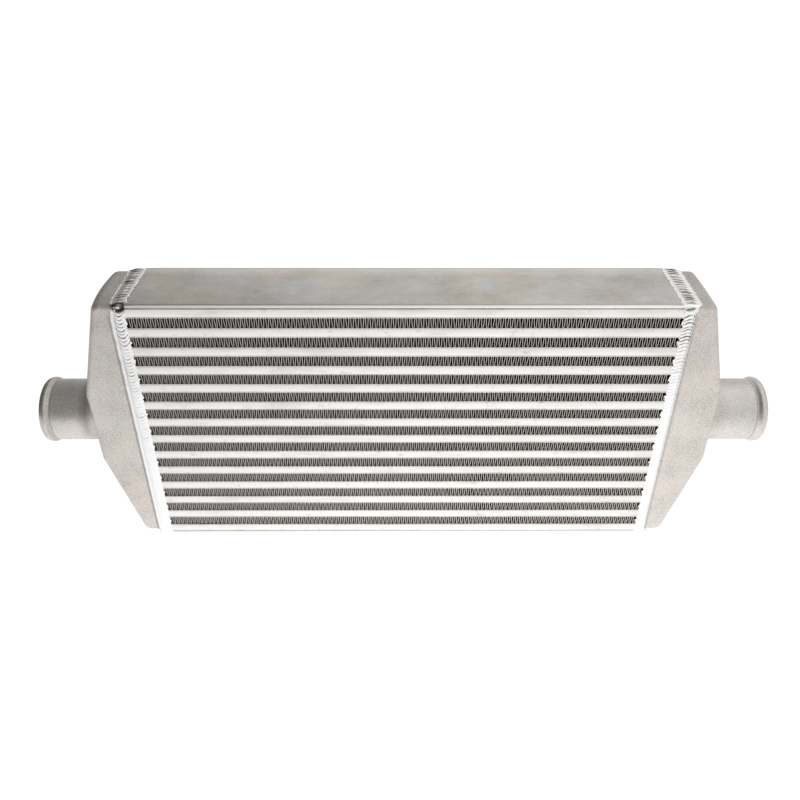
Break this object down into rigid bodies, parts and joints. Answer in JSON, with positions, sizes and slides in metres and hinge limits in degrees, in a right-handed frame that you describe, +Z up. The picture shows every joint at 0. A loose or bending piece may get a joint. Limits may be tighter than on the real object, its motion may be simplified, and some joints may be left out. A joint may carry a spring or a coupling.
{
  "type": "intercooler",
  "caption": "Bar-and-plate air-to-air intercooler: a finned brazed core between two cast end tanks, each with a round hose neck.",
  "frame": {"origin": "middle of the underside of the bottom side plate, on which the part stands", "axes": "+X from the left tank to the right tank along the charge-air path, +Y from the front face to the back face, +Z up"},
  "size_m": [0.758, 0.0786, 0.3008],
  "materials": {
    "side_plate": "rolled sheet, satin after brazing",
    "core_bar": "extruded bar and sheet, dull bright after brazing",
    "ambient_fin": "thin corrugated sheet, dull",
    "charge_fin": "thin corrugated sheet, dull",
    "cast_tank": "sand cast and blasted, matte",
    "weld_bead": "bright TIG bead"
  },
  "bodies": {
    "root": {"bottom_side_plate": "side_plate", "top_side_plate": "side_plate", "charge_passage_01": "core_bar", "charge_fin_01": "charge_fin", "charge_passage_02": "core_bar", "charge_fin_02": "charge_fin", "charge_passage_03": "core_bar", "charge_fin_03": "charge_fin", "charge_passage_04": "core_bar", "charge_fin_04": "charge_fin", "charge_passage_05": "core_bar", "charge_fin_05": "charge_fin", "charge_passage_06": "core_bar", "charge_fin_06": "charge_fin", "charge_passage_07": "core_bar", "charge_fin_07": "charge_fin", "charge_passage_08": "core_bar", "charge_fin_08": "charge_fin", "charge_passage_09": "core_bar", "charge_fin_09": "charge_fin", "charge_passage_10": "core_bar", "charge_fin_10": "charge_fin", "charge_passage_11": "core_bar", "charge_fin_11": "charge_fin", "charge_passage_12": "core_bar", "charge_fin_12": "charge_fin", "charge_passage_13": "core_bar", "charge_fin_13": "charge_fin", "charge_passage_14": "core_bar", "charge_fin_14": "charge_fin", "ambient_fin_01": "ambient_fin", "ambient_end_bars_01": "core_bar", "ambient_fin_02": "ambient_fin", "ambient_end_bars_02": "core_bar", "ambient_fin_03": "ambient_fin", "ambient_end_bars_03": "core_bar", "ambient_fin_04": "ambient_fin", "ambient_end_bars_04": "core_bar", "ambient_fin_05": "ambient_fin", "ambient_end_bars_05": "core_bar", "ambient_fin_06": "ambient_fin", "ambient_end_bars_06": "core_bar", "ambient_fin_07": "ambient_fin", "ambient_end_bars_07": "core_bar", "ambient_fin_08": "ambient_fin", "ambient_end_bars_08": "core_bar", "ambient_fin_09": "ambient_fin", "ambient_end_bars_09": "core_bar", "ambient_fin_10": "ambient_fin", "ambient_end_bars_10": "core_bar", "ambient_fin_11": "ambient_fin", "ambient_end_bars_11": "core_bar", "ambient_fin_12": "ambient_fin", "ambient_end_bars_12": "core_bar", "ambient_fin_13": "ambient_fin", "ambient_end_bars_13": "core_bar", "left_end_tank": "cast_tank", "left_weld_bead": "weld_bead", "right_end_tank": "cast_tank", "right_weld_bead": "weld_bead"}
  },
  "joints": []
}
